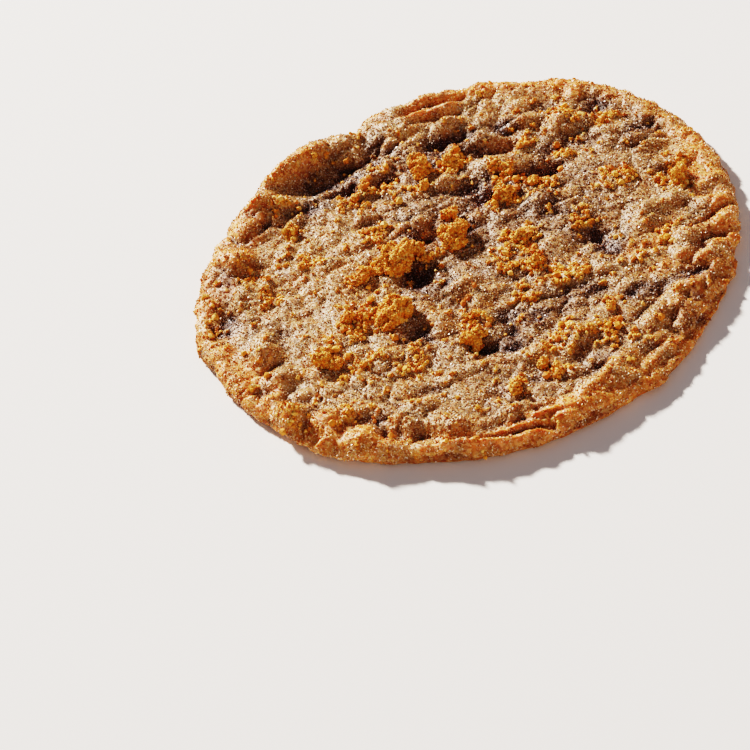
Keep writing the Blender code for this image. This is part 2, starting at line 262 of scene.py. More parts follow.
    (-6.8, -2.4, 3.0, 2.6, -0.6, -40), (-2.6, -5.8, 2.2, 1.6, -0.4), (-13.6, -8.8, 1.8, 1.3, 0.3),
    (-4.6, -9.8, 2.2, 1.6, 0.3), (-1.6, -7.0, 2.6, 2.0, 0.4, 10), (-15.4, -11.8, 2.2, 1.4, -0.3),
    (-5.6, -11.8, 2.2, 1.5, 0.3), (-5.6, -10.8, 2.4, 1.6, 0.3), (-4.6, -12.8, 1.8, 1.3, 0.3),
    (-0.6, -10.8, 2.4, 1.6, 0.3), (-12.6, -15.8, 2.2, 1.4, 0.3), (-12.6, -14.8, 2.4, 1.8, 0.4),
    (-7.6, -14.8, 1.8, 1.2, -0.3), (-1.6, -17.8, 2.0, 1.4, -0.3),
    (-1.0, -18.8, 2.4, 1.3, -0.9, -20),
    # the middle, near right
    (10.6, -3.8, 1.2, 1.4, 0.4), (17.0, -4.8, 1.3, 2.6, -0.6, 20), (0.4, -9.8, 2.8, 2.0, 0.5),
    (2.4, -9.8, 2.2, 1.6, 0.5), (16.4, -6.0, 2.2, 1.5, 0.3), (18.4, -6.4, 1.8, 1.3, -0.3),
    (18.4, -7.8, 2.2, 1.5, -0.3), (19.2, -8.8, 2.2, 1.6, -0.2), (2.4, -11.8, 2.2, 1.6, 0.3),
    (12.5, -13.0, 2.6, 1.2, -0.6), (16.5, -11.2, 1.8, 1.2, 0.5), (2.4, -15.8, 1.8, 1.3, 0.3),
    (3.0, -17.0, 1.0, 2.6, -0.6, 10), (3.4, -14.8, 2.4, 1.7, -0.2), (6.8, -16.2, 2.0, 1.2, -0.4),
    (11.4, -16.8, 2.2, 1.4, -0.3), (14.4, -14.8, 2.2, 1.5, -0.4), (2.4, -20.8, 2.2, 1.4, -0.3),
    (7.4, -18.8, 2.0, 1.4, -0.3),
)
# Narrow ridges and creases along a line: (half width, height, corners of the line), in
# millimetres.
FOLDS = (
    # the upper left rim, which stands over the deep pocket
    (1.8, 0.7, ((-22.5, 25.6), (-19.0, 28.0), (-15.5, 29.4), (-12.0, 29.6))),
    # the far rim
    (1.2, 0.4, ((-3.0, 30.0), (0.0, 31.0), (3.0, 30.6), (6.0, 30.6))),
    (0.7, -0.5, ((-2.0, 31.6), (1.0, 32.4), (6.0, 31.8))),
    (0.7, -0.5, ((-2.0, 28.6), (1.0, 29.4), (5.0, 28.6))),
    # the near rim
    (0.8, -1.0, ((-9.0, -32.8), (-4.5, -34.4), (-1.2, -35.2), (4.0, -35.6))),
    (1.0, 0.6, ((-9.0, -33.8), (-4.0, -35.0), (1.0, -35.6))),
    (0.9, 0.5, ((2.0, -33.0), (6.0, -33.6), (9.0, -34.2))),
    # the lower right rim
    (1.3, 0.3, ((9.0, -32.2), (14.0, -29.6))),
    (1.8, -0.3, ((16.0, -26.6), (20.2, -24.2), (23.4, -21.2), (26.8, -17.2))),
    (1.5, 0.3, ((16.2, -30.2), (19.8, -28.0), (22.9, -25.2), (25.3, -22.7), (27.5, -19.9))),
    (1.4, 0.8, ((28.4, -15.0), (29.4, -13.6), (30.4, -12.0))),
    (1.0, -0.5, ((16.6, -31.8), (20.4, -29.2), (23.8, -26.4), (26.5, -23.7), (29.0, -20.6))),
    (1.2, -0.5, ((27.4, -20.0), (29.8, -18.0), (31.4, -15.6), (32.8, -12.8))),
    (0.8, -0.3, ((18.0, -21.6), (22.0, -18.6))),
    (0.7, -0.5, ((29.0, -12.6), (31.0, -11.6), (34.0, -10.4))),
    (0.7, -0.6, ((28.0, -8.6), (31.6, -7.0), (34.4, -5.8))),
)
LUMP_LEVEL = 0.4, 1.1  # they fade in between these heights, so the underside stays flat
LOWEST_TOP = 0.4  # and no hollow goes lower than this
SWERVE, SWERVE_SIZE = 0.6, 3.0  # lumps and folds wander this far from their plain shapes
NOISE_SEED = 1  # picks the pattern of the random relief
NODULE_SIZE, NODULE_HEIGHT = 3.4, 0.36  # random round nodules of dough
PEBBLE_SIZE, PEBBLE_HEIGHT, PEBBLE_SHIFT = 1.0, 0.13, 31.0  # the small pebbles on them
GRIT_SIZE, GRIT_HEIGHT = 0.5, 0.05  # and the grit on those
ROUGH_ZONE, ROUGH_SPREAD = 7.0, 0.9  # the random relief is stronger in some zones
ROUGH_LIMITS = 0.4, 1.6  # but always between these shares of its height
RIM_RADIUS = 36.2  # where the rim ends
CALM_RIM, CALM_LEAST = 1.6, 0.6  # the random relief fades to this share towards the rim
WRINKLE_TURN, WRINKLE_SPREAD = -38.0, 26.0  # the outer slope is wrinkled about this angle
WRINKLE_START, WRINKLE_FADE = 29.5, 2.5  # and outside this radius
WRINKLE_WIDTH, WRINKLE_LENGTH, WRINKLE_HEIGHT = 1.6, 5.0, 0.45  # wrinkles that run outwards
WRINKLE_RADIUS = 34.0  # where they have that width
WALL_START, WALL_FADE, WALL_FOOT = 32.0, 3.0, 0.6  # the outer wall, by its radius and height
WALL_BUMP, WALL_BUMP_SIZE, WALL_LAYERS = 0.5, 1.8, 1.4  # its bumps, a little flattened
LIP_HEIGHT, LIP_SWAY, LIP_STEP, LIP_MOST = 1.3, 1.2, 0.3, 0.3  # the rim's upper layer and
LIP_LENGTH, LIP_DEPTH, LIP_SHARE = 6.0, 0.5, 0.7  # how far it stands out over the wall
CUTS, SMOOTHINGS = 4, 10  # the solid's faces are cut into five and smoothed
WELD, UNDERSIDE = 0.001, 0.02  # up to this height a face is part of the flat underside

# The drifts of crumbs stand up a little: their depth, and the size and height of their bumps.
GOLDEN_PILE, GOLDEN_COBBLE, GOLDEN_BUMPS, GOLDEN_SHIFT = 0.08, 0.85, 0.4, 17.0

# How brown the crust is painted: darker in hollows and creases, partly its own baked colour and
# partly painted shade; in the places listed below; in random zones; at the wall's foot, a browner
# underside that also carries painted shade; and at the least.
WIDE_BLUR, HOLLOW_DEPTH = 140, 2.2
CLOSE_BLUR, CREASE_DEPTH, CREASE_TAN_AND_SHADE = 20, 0.6, 0.35
PLACE_TAN_AND_LIGHT, ZONE_TAN, LEAST_TAN = 0.6, 0.2, 0.2
FOOT_START, FOOT_FADE, FOOT_TOP, FOOT_TAN_AND_SHADE = 33.0, 2.0, 1.3, 0.15

# Where the crust is painted browner, or paler at a minus amount, partly for its own baked colour
# and partly as painted shade, such as the shadows cast by the crumbs and by the rim over the deep
# pocket, and as painted light where it is paler: (x, y, half length, half width, amount, and a
# turn), in millimetres and degrees.
BROWNED_AND_PAINTED_LIGHT = (
    # the left rim
    (-24.6, 21.8, 2.9, 2.0, -2.5, 43), (-27.0, 17.5, 7.0, 4.0, 0.4, 48),
    (-26.0, 15.0, 4.5, 3.0, 0.5, 35), (-24.0, 12.0, 5.0, 8.0, -0.35, 20),
    (-26.8, 9.6, 2.4, 1.6, 0.6, -20), (-29.6, 8.8, 3.0, 3.0, 1.0), (-30.0, 7.0, 2.4, 1.8, 0.4),
    (-32.5, 5.0, 3.0, 8.0, 0.3), (-28.3, 3.3, 2.8, 2.3, -3.2), (-31.6, -0.4, 2.3, 2.8, 1.1),
    (-33.8, -1.0, 1.8, 2.4, 0.7), (-25.0, -3.4, 2.6, 2.0, 0.5), (-25.0, -5.2, 2.6, 1.8, 0.7),
    (-31.0, -8.0, 3.0, 5.0, -0.5), (-25.0, -7.0, 3.0, 2.6, 0.7), (-28.6, -9.0, 3.0, 2.2, -0.6),
    (-24.0, -8.0, 5.0, 8.0, -0.3, -10), (-31.5, -12.0, 2.6, 7.0, -0.5, 15),
    (-29.0, -15.0, 2.6, 1.8, 0.5), (-22.0, -13.0, 9.0, 9.0, -0.4),
    (-28.0, -20.0, 3.0, 4.0, -0.5, 35), (-26.8, -21.1, 2.8, 2.7, -3.0),
    (-20.0, -17.0, 2.8, 2.0, -0.7),
    # the far rim
    (23.0, 23.0, 3.0, 1.8, 0.7, -45), (17.0, 18.0, 2.2, 1.8, -0.4),
    (16.0, 25.0, 2.8, 1.8, 0.6, -20), (12.0, 24.0, 12.0, 5.0, -0.2, -10),
    (10.7, 22.8, 3.0, 2.1, 1.6, -18), (12.0, 28.0, 9.0, 5.0, -0.5, -20),
    (10.0, 32.4, 7.0, 2.2, -0.4, -10), (5.2, 23.8, 2.6, 1.8, 0.5), (3.0, 27.4, 2.9, 1.8, -2.1),
    (0.0, 30.2, 2.6, 1.4, -0.5), (-1.0, 30.4, 4.0, 1.6, -0.6), (-2.0, 29.2, 4.0, 2.0, -0.8),
    (-2.8, 27.6, 3.3, 2.0, -2.8), (-5.8, 25.0, 2.6, 1.8, 0.5), (-7.0, 28.0, 3.0, 2.2, 0.7),
    (-8.6, 24.0, 2.8, 1.8, 0.7), (-13.0, 21.0, 2.6, 2.0, 0.5), (-14.0, 22.6, 7.5, 4.2, 0.9, 15),
    (-14.8, 21.0, 5.0, 3.0, 0.6, 15), (-17.6, 18.0, 3.0, 2.3, 1.7),
    # the right rim
    (24.4, -23.0, 3.4, 2.2, 0.6, 45), (19.4, -17.2, 3.3, 2.0, 1.3, 20),
    (25.4, -21.0, 6.5, 2.4, 0.8, 50), (22.2, -17.2, 2.6, 1.6, 0.6, 20),
    (25.0, -17.0, 2.7, 1.5, 1.0), (28.4, -18.4, 3.4, 2.2, 0.7, 40),
    (26.8, -17.0, 2.4, 1.8, 0.4, 40), (27.5, -16.0, 4.4, 2.6, 0.3, 15),
    (27.0, -14.0, 2.6, 1.6, -0.3, 40), (24.0, -5.0, 2.8, 2.0, -0.7), (28.0, 5.0, 2.6, 2.0, 0.6),
    (31.0, 7.0, 4.0, 9.0, -0.6), (26.0, 12.0, 2.6, 2.0, 0.5), (28.0, 14.0, 3.0, 3.2, 0.5, -30),
    (26.0, 14.0, 2.6, 2.2, 0.7), (20.0, 15.0, 2.6, 2.0, 0.7), (24.0, 20.4, 2.4, 1.6, 0.4, -40),
    (22.5, 21.0, 3.6, 2.6, 0.6, -20), (20.6, 19.3, 2.7, 2.0, -2.2, -20),
    # the near rim
    (-25.0, -25.0, 2.8, 2.0, -0.7, 40), (-25.2, -25.6, 2.6, 1.8, -0.5, 40),
    (-25.0, -26.0, 2.6, 1.6, -0.5, 40), (-25.0, -26.0, 3.2, 2.0, -0.7, -40),
    (-24.0, -26.0, 3.0, 2.0, -0.7, -40), (-22.0, -29.0, 3.0, 1.6, -0.6, -30),
    (-17.0, -23.0, 2.8, 2.0, -0.5), (-16.0, -26.0, 2.8, 1.8, 0.6),
    (-18.0, -31.0, 5.0, 2.4, -0.8, -20), (-10.0, -22.0, 7.0, 5.0, -0.4),
    (-10.6, -25.1, 3.0, 2.0, -1.1), (-8.7, -23.0, 3.0, 1.7, 0.9),
    (-10.4, -31.2, 3.6, 2.0, -0.8, -15), (-9.0, -31.0, 2.6, 1.8, -0.5),
    (-6.4, -31.6, 3.0, 1.7, -1.4), (-1.0, -27.0, 2.8, 1.8, 0.6), (0.3, -35.1, 2.6, 1.1, 1.0),
    (1.0, -31.2, 2.8, 1.6, -0.6), (4.0, -27.2, 2.8, 1.8, 0.7), (6.0, -33.0, 2.6, 1.4, 0.5),
    (7.6, -32.6, 5.0, 2.4, -0.9, 10), (8.0, -34.0, 3.0, 1.4, -0.5, 10),
    (7.0, -24.0, 2.6, 1.8, -0.6), (11.2, -28.4, 2.8, 1.8, 0.4, 20),
    (14.0, -34.0, 3.0, 1.4, -0.6, 25), (11.0, -26.0, 2.0, 1.6, 0.4), (11.0, -25.4, 1.8, 1.4, -0.4),
    (13.0, -30.0, 2.8, 1.8, -0.6, 30), (11.0, -25.0, 3.5, 3.0, 0.2),
    (14.2, -29.8, 3.6, 2.2, -0.8, 30), (14.0, -27.0, 2.0, 1.6, 0.4), (16.0, -24.0, 1.8, 1.4, 0.3),
    (23.4, -25.0, 2.8, 1.4, 0.6, 45), (23.0, -24.0, 2.2, 1.6, -0.7, 40),
    (20.0, -20.4, 2.2, 1.6, -0.6),
    # the middle, far left
    (-7.0, 19.0, 2.4, 1.6, 0.5), (-5.0, 20.0, 15.0, 8.0, 0.4, 10), (-0.6, 20.1, 2.7, 1.7, 1.3),
    (-18.0, 6.0, 2.4, 1.8, -0.5), (-6.0, 6.0, 2.4, 1.8, 0.6), (-23.0, 4.0, 2.8, 2.0, -0.6),
    (-20.4, 5.0, 2.8, 2.0, -1.1), (-19.0, 3.0, 14.0, 15.0, -0.8), (-18.5, 0.5, 3.1, 2.3, -1.0),
    (-9.7, 0.6, 2.4, 2.1, 1.7), (-5.5, 1.0, 4.0, 6.0, 0.7, 30), (-3.4, 0.0, 2.4, 1.8, -0.9),
    # the middle, far right
    (2.4, 23.6, 4.4, 2.2, 0.7, -15), (0.0, 21.4, 4.0, 2.6, 0.8, 10), (2.0, 21.5, 7.5, 3.6, 0.7),
    (0.0, 15.0, 2.2, 1.6, -0.5), (0.2, 15.0, 3.0, 1.8, -0.7), (0.2, 16.0, 2.6, 1.8, -0.6),
    (1.0, 14.0, 2.2, 1.6, -0.4), (7.0, 17.0, 2.4, 1.6, -0.5), (10.0, 14.0, 2.2, 1.8, -0.4),
    (10.0, 18.0, 2.2, 1.6, -0.5), (10.2, 14.0, 2.8, 1.8, -0.8), (11.0, 15.2, 2.6, 1.6, -0.7),
    (14.0, 16.0, 2.4, 1.6, 0.4), (15.2, 14.6, 2.6, 1.8, 0.6), (17.0, 16.5, 3.5, 2.4, 0.6, 20),
    (7.0, 11.0, 2.6, 1.8, 0.5), (9.0, 12.2, 9.0, 3.0, 0.8), (14.4, 12.8, 3.4, 2.2, 0.6),
    (4.6, 10.0, 4.0, 2.6, 1.0), (14.0, 10.0, 2.2, 1.8, -0.5), (20.0, 8.0, 2.8, 2.2, 0.6),
    (1.0, 4.7, 2.2, 1.7, 1.8), (5.0, 3.0, 19.0, 21.0, 0.6), (12.5, 4.5, 4.0, 4.0, 0.5),
    (15.0, 5.2, 2.3, 2.2, -0.8), (19.0, 3.0, 2.4, 1.8, 0.4),
    # the middle, near left
    (-15.8, -0.4, 2.8, 2.0, -2.3), (-21.0, -3.0, 2.8, 2.0, 0.6), (-6.6, -3.0, 4.0, 3.4, 0.9, -40),
    (-5.0, -5.0, 2.6, 2.0, 0.6), (-3.0, -5.4, 2.4, 1.8, 0.6), (-14.0, -8.0, 2.2, 1.8, -0.5),
    (-10.0, -6.0, 2.2, 1.6, -0.5), (-6.0, -10.0, 2.8, 1.8, -0.5), (-5.0, -9.0, 2.8, 2.0, -0.5),
    (-16.0, -11.0, 2.8, 1.8, 0.5), (-8.5, -12.0, 4.0, 4.0, 0.5), (-6.0, -11.0, 2.6, 1.8, -0.5),
    (-5.0, -12.0, 2.2, 1.6, -0.5), (-13.0, -15.0, 2.5, 2.3, -1.8), (-8.0, -14.0, 2.2, 1.8, 0.4),
    (-2.0, -17.1, 2.4, 1.8, 0.9),
    # the middle, near right
    (13.0, -4.0, 2.0, 1.6, 0.4), (16.0, -5.2, 2.6, 1.8, -0.5), (17.0, -4.5, 4.0, 5.5, 0.6, 20),
    (0.2, -9.2, 3.0, 2.2, -0.9), (18.2, -7.0, 2.8, 2.4, 2.0), (21.0, -6.0, 2.4, 2.0, 0.4),
    (22.0, -9.0, 7.0, 5.0, -0.4), (2.0, -11.0, 2.6, 1.8, -0.5), (11.0, -12.0, 2.2, 1.6, -0.4),
    (12.0, -13.0, 5.5, 3.0, 0.5), (2.0, -15.0, 2.2, 1.6, -0.5), (2.0, -17.0, 6.0, 5.0, 0.6, 10),
    (3.2, -14.4, 2.6, 1.8, 0.7), (7.0, -16.3, 2.9, 2.2, 1.0), (11.0, -16.0, 2.8, 1.8, 0.5),
    (14.4, -14.4, 2.8, 2.0, 0.7), (2.3, -19.8, 3.0, 2.2, 0.9),
)

# Where the crust is smooth and glazed, in patches: at the rim, and more in the amber places.
PATCH_SIZE, PATCH_EDGE, PATCH_LEAST, PATCH_PLACES = 2.6, 4.0, 0.3, 0.7
BARE_RIM, BARE_SHARE = 0.5, 0.5  # the share is how much of the grain is missing there
# How amber it is: at the rim, in patches, at the least, in gaps between pebbles, where glazed.
# In the gaps the amber is partly the dough's own colour and partly a painted glow of light soaking
# through it.
RIM_WIDTH, AMBER_RIM, AMBER_PATCHES, AMBER_LEAST = 6.0, 0.75, 0.5, 0.15
AMBER_GAPS_AND_GLOW, PEBBLE_MIDDLE, AMBER_GLAZE = 0.6, 0.45, 0.5
SUGAR_RIM, SUGAR_LEAST = 3.0, 0.3  # the sugar thins out to this share over the rim

# The places where it has baked amber and has less grain: (x, y, half length, half width,
# amount, and a turn), in millimetres and degrees.
AMBERED = (
    # the left rim
    (-27.0, 17.5, 7.0, 4.0, 0.7, 48), (-29.5, 14.5, 4.0, 7.0, 0.6, -35),
    (-29.0, 13.0, 4.0, 9.0, 0.4, -20), (-27.8, 8.4, 2.0, 1.6, 0.5), (-31.5, 8.0, 3.4, 4.5, 0.7),
    (-33.5, 5.0, 2.4, 6.0, 0.5), (-31.0, -1.0, 2.0, 3.0, 0.5), (-33.5, -4.0, 2.4, 6.0, 0.6, 5),
    (-30.5, -14.0, 4.5, 9.0, 0.6, 15),
    # the far rim
    (20.0, 27.0, 7.0, 3.0, 0.5, -40), (10.0, 32.0, 9.0, 2.2, 0.5, -8), (1.5, 31.0, 6.0, 2.2, 0.8),
    (-18.5, 27.5, 6.0, 2.5, 0.8, 30),
    # the right rim
    (27.0, -20.0, 8.0, 3.5, 0.9, 45), (25.0, -13.0, 6.0, 9.0, 0.35, 15),
    (33.0, -9.0, 2.6, 6.0, 0.7, -10), (31.5, 1.0, 3.0, 6.0, 0.6), (33.5, 8.0, 3.0, 7.0, 0.4, 8),
    # the near rim
    (-22.0, -25.0, 7.0, 4.0, 0.5, -40), (-17.0, -28.0, 7.0, 3.0, 0.6, -25),
    (5.0, -34.0, 11.0, 2.4, 0.9, 5),
)

# Where golden crumbs have been strewn: (x, y, radius, amount from 0 to 1), in millimetres.
DRIFT_FOOT = 1.4  # a drift thins out to this many times its radius
DRIFT_SIZE, DRIFT_BREAKS = 1.3, 1.0  # it is broken up into patches of this size
DRIFT_GRAIN_SIZE, DRIFT_GRAIN = 0.6, 0.7  # and into smaller ones
DRIFT_LEAST, DRIFT_EDGE = 0.55, 0.25  # what it takes to cover the crust, and how soft its edge is
STREWN = (
    (-14.0, -15.6, 2.2, 0.7), (-9.6, -17.4, 2.6, 0.7), (-14.6, -19.4, 2.0, 0.6),
    (0.4, -25.0, 2.0, 0.6), (-20.0, 6.4, 2.2, 0.6), (14.6, -23.8, 2.4, 0.7),
    (-11.5, 17.0, 3.2, 0.8), (-6.5, 15.5, 2.6, 0.6), (-8.5, 20.0, 2.4, 0.5), (2.2, 18.2, 2.2, 1.0),
    (13.0, 18.4, 2.4, 0.7), (8.0, 12.2, 2.6, 0.9), (7.0, 8.6, 2.8, 1.0), (11.8, 9.2, 2.4, 0.9),
    (18.0, 14.0, 2.4, 0.6), (21.6, 5.4, 2.4, 0.8), (5.2, -4.4, 2.2, 1.0), (7.6, -3.8, 2.2, 1.0),
    (8.4, -6.8, 1.6, 0.9), (7.6, -0.6, 2.4, 1.0), (15.8, -0.8, 2.0, 0.7), (11.6, -9.8, 3.0, 0.8),
    (5.8, -12.0, 2.2, 0.7), (-10.0, 8.6, 2.2, 0.9), (-13.2, 0.8, 2.0, 1.0), (-4.6, 0.8, 2.0, 0.8),
    (-3.4, -3.8, 1.2, 0.8), (-15.4, -7.4, 3.2, 0.9), (-20.4, -10.6, 2.4, 0.8),
    (-15.4, -15.0, 2.4, 0.7), (-27.2, 6.4, 1.8, 0.7), (-25.4, 1.6, 2.4, 0.6),
    (-33.4, 1.8, 2.0, 0.6), (-12.0, -18.0, 3.0, 0.6), (-1.2, -13.0, 2.2, 0.8),
    (1.4, -27.8, 1.4, 1.0), (6.2, -26.4, 1.6, 0.9), (8.6, -21.2, 2.8, 0.7), (14.0, -21.8, 2.8, 0.7),
    (15.4, -18.4, 1.6, 0.7), (29.2, 1.8, 2.2, 0.9), (18.2, 21.4, 2.8, 0.8), (23.0, 18.0, 1.6, 0.6),
    (25.6, -8.0, 3.4, 0.4), (21.0, -9.0, 1.8, 0.5), (-20.6, 19.6, 2.4, 0.7),
    (-21.2, 13.8, 1.8, 0.8), (-26.0, -22.6, 2.4, 0.5), (-18.4, -24.0, 2.6, 0.6),
)


def dome(distance):
    """A round hill with a soft foot: 1 at distance 0, 0 from distance 1."""
    return np.clip(1.0 - distance * distance, 0.0, None) ** 1.3


def blurred(values, edges, passes):
    """The values of a mesh's points, each averaged with its neighbours this many times."""
    count = len(values)
    ends = np.concatenate((edges[:, 0], edges[:, 1]))
    others = np.concatenate((edges[:, 1], edges[:, 0]))
    neighbours = np.maximum(np.bincount(ends, minlength=count), 1)
    for _ in range(passes):
        values = 0.5 * values + 0.5 * np.bincount(ends, values[others], count) / neighbours
    return values


def unevenness(x, y, size, depth):
    """Random bumps of this size at each point, from -1 to 1. The depth picks their pattern."""
    return np.array([noise.noise(Vector((px, py, depth)) / size) for px, py in zip(x, y)])


def cobbles(x, y, size):
    """Round stones of uneven size with creases between them: 1 on their tops, 0 between."""
    heights = []
    for px, py in zip(x, y):
        bent = noise.noise_vector(Vector((px, py, 3.0)) / (2.0 * size)) * 0.45
        near, next_one = noise.voronoi(Vector((px, py, 0.0)) / size + bent)[0][:2]
        heights.append((1.0 - (near / next_one) ** 2) ** 0.7)
    return np.array(heights)


def hills(x, y, places):
    """What a list of long round places adds up to at each point."""
    height = np.zeros_like(x)
    for middle_x, middle_y, half_length, half_width, rise, *turned in places:
        turn = math.radians(turned[0]) if turned else 0.0
        cosine, sine = math.cos(turn), math.sin(turn)
        along = ((x - middle_x) * cosine + (y - middle_y) * sine) / half_length
        across = ((y - middle_y) * cosine - (x - middle_x) * sine) / half_width
        height += rise * dome(np.hypot(along, across))
    return height


def folds(x, y, lines):
    """What a list of narrow ridges and creases adds up to at each point."""
    height = np.zeros_like(x)
    for half_width, rise, corners in lines:
        nearest = np.full_like(x, np.inf)
        for (from_x, from_y), (to_x, to_y) in zip(corners, corners[1:]):
            step_x, step_y = to_x - from_x, to_y - from_y
            share = (x - from_x) * step_x + (y - from_y) * step_y
            share = np.clip(share / (step_x**2 + step_y**2), 0.0, 1.0)
            away = np.hypot(x - from_x - share * step_x, y - from_y - share * step_y)
            nearest = np.minimum(nearest, away)
        height += rise * np.clip(1.0 - (nearest / half_width) ** 2, 0.0, None) ** 1.5
    return height


cookie_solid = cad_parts["cookie"]
dough = bpy.data.objects.new("baked_dough", cookie_solid.data.copy())
bpy.context.collection.objects.link(dough)
bpy.ops.object.select_all(action="DESELECT")
dough.select_set(True)
bpy.context.view_layer.objects.active = dough
bpy.ops.object.mode_set(mode="EDIT")
bpy.ops.mesh.select_all(action="SELECT")
bpy.ops.mesh.remove_doubles(threshold=WELD * MM)
bpy.ops.object.mode_set(mode="OBJECT")
for face in dough.data.polygons:
    face.select = face.center.z > UNDERSIDE * MM
bpy.ops.object.mode_set(mode="EDIT")
bpy.ops.mesh.subdivide(number_cuts=CUTS)
bpy.ops.mesh.vertices_smooth(factor=0.5, repeat=SMOOTHINGS)
bpy.ops.object.mode_set(mode="OBJECT")

points = np.empty(len(dough.data.vertices) * 3)
dough.data.vertices.foreach_get("co", points)
points = points.reshape(-1, 3) / MM
edges = np.empty(len(dough.data.edges) * 2, dtype=np.int32)
dough.data.edges.foreach_get("vertices", edges)
edges = edges.reshape(-1, 2)
x, y, z = points.T
radius = np.hypot(x, y)
inset = RIM_RADIUS - radius
top = np.clip((z - LUMP_LEVEL[0]) / (LUMP_LEVEL[1] - LUMP_LEVEL[0]), 0.0, 1.0)

# The lumps and folds of the top, then the wrinkles of its outer slope, then the random relief.
noise.seed_set(NOISE_SEED)
nodules = cobbles(x, y, NODULE_SIZE)
pebbles = cobbles(x + PEBBLE_SHIFT, y, PEBBLE_SIZE)
grit = unevenness(x, y, GRIT_SIZE, 9.0)
patches = unevenness(x, y, PATCH_SIZE, 18.2)
zones = unevenness(x, y, ROUGH_ZONE, 5.0)
calm = np.clip(inset / CALM_RIM, CALM_LEAST, 1.0)
calm *= np.clip(1.0 + ROUGH_SPREAD * zones, *ROUGH_LIMITS)
swerves = [noise.noise_vector(Vector((px, py, 1.0)) / SWERVE_SIZE) for px, py in zip(x, y)]
swerves = SWERVE * np.array(swerves)
aside_x, aside_y = x + swerves[:, 0], y + swerves[:, 1]
z += top * (hills(aside_x, aside_y, LUMPS) + folds(aside_x, aside_y, FOLDS))
turn = np.degrees(np.arctan2(y, x))
wrinkled = np.clip(1.0 - ((turn - WRINKLE_TURN) / WRINKLE_SPREAD) ** 2, 0.0, 1.0)
wrinkled *= np.clip((radius - WRINKLE_START) / WRINKLE_FADE, 0.0, 1.0)
along, across = radius / WRINKLE_LENGTH, np.radians(turn) * WRINKLE_RADIUS / WRINKLE_WIDTH
z += top * wrinkled * WRINKLE_HEIGHT * unevenness(along, across, 1.0, 6.0)
z += top * calm * NODULE_HEIGHT * (nodules - 0.5)
z += top * calm * (PEBBLE_HEIGHT * (pebbles - 0.5) + GRIT_HEIGHT * grit)
np.maximum(z, LOWEST_TOP * top, out=z)

# The outer wall: bumpy, and in layers.
wall = np.clip((radius - WALL_START) / WALL_FADE, 0.0, 1.0) * np.clip(z / WALL_FOOT, 0.0, 1.0)
bumps = [noise.noise(Vector((px, py, WALL_LAYERS * pz)) / WALL_BUMP_SIZE) for px, py, pz in points]
lip_edge = unevenness(x, y, LIP_LENGTH, 12.0)
lip = np.clip((z - LIP_HEIGHT - LIP_SWAY * lip_edge) / LIP_STEP, -1.0, LIP_MOST)
lip *= np.clip(LIP_SHARE + lip_edge, 0.0, 1.0)
outwards = 1.0 + wall * (WALL_BUMP * np.array(bumps) + LIP_DEPTH * lip) / np.maximum(radius, 1.0)
x *= outwards
y *= outwards

# The brown of the crust, with painted shade in hollows, creases and listed places and painted
# light where they are paler, and the amber places.
hollow = (blurred(z, edges, WIDE_BLUR) - z) / HOLLOW_DEPTH
crease = (blurred(z, edges, CLOSE_BLUR) - z) / CREASE_DEPTH
tan_and_painted_light = np.clip(hills(x, y, BROWNED_AND_PAINTED_LIGHT), -1.0, 1.0)
browned = hollow + CREASE_TAN_AND_SHADE * crease + PLACE_TAN_AND_LIGHT * tan_and_painted_light + ZONE_TAN * zones + LEAST_TAN
# The wall's foot is darker: a browner underside, with painted shade under the rim.
foot = np.clip((radius - FOOT_START) / FOOT_FADE, 0.0, 1.0) * np.clip(FOOT_TOP - z, 0.0, 1.0)
browned = np.clip(browned + FOOT_TAN_AND_SHADE * foot, 0.0, 1.0)
rim = np.clip(1.0 - inset / RIM_WIDTH, 0.0, 1.0)
ambered = np.clip(hills(x, y, AMBERED), 0.0, 1.0)
glazed = np.clip(PATCH_EDGE * patches + PATCH_LEAST + PATCH_PLACES * ambered, 0.0, 1.0)
bare = np.clip(ambered + BARE_RIM * rim, 0.0, 1.0) * glazed
amber = AMBER_RIM * rim + AMBER_PATCHES * patches + AMBER_LEAST + ambered
# More amber in the gaps between pebbles, partly as a painted glow.
amber += AMBER_GAPS_AND_GLOW * (PEBBLE_MIDDLE - pebbles) + AMBER_GLAZE * bare
amber = np.clip(amber, 0.0, 1.0)

# The drifts of golden crumbs.
strewn = np.zeros_like(x)
for middle_x, middle_y, reach, amount in STREWN:
    share = np.hypot(x - middle_x, y - middle_y) / (DRIFT_FOOT * reach)
    strewn = np.maximum(strewn, amount * np.clip(1.0 - share * share, 0.0, 1.0))
breaks = unevenness(x, y, DRIFT_SIZE, 2.0) + DRIFT_GRAIN * unevenness(x, y, DRIFT_GRAIN_SIZE, 4.0)
golden = (strewn + DRIFT_BREAKS * breaks - DRIFT_LEAST) / DRIFT_EDGE
golden = np.clip(golden, 0.0, 1.0) * top
z += golden * (GOLDEN_PILE + GOLDEN_BUMPS * cobbles(x, y + GOLDEN_SHIFT, GOLDEN_COBBLE))

grainy = top * (1.0 - BARE_SHARE * bare)
sugared = grainy * np.clip(inset / SUGAR_RIM + SUGAR_LEAST, 0.0, 1.0) * (1.0 - golden)
dough.data.vertices.foreach_set("co", (points * MM).ravel())
values_by_name = {"browned": browned, "amber": amber, "golden": golden}
values_by_name |= {"sugared": sugared, "grainy": grainy}
for name, values in values_by_name.items():
    dough.data.attributes.new(name, "FLOAT", "POINT").data.foreach_set("value", values)
dough.data.shade_smooth()

# The colours of golden crumbs, in drifts and in clumps.
CRUMB_STOPS = ((0.0, "B4641A"), (0.3, "D48630"), (0.7, "E6A848"), (1.0, "F0CC82"))


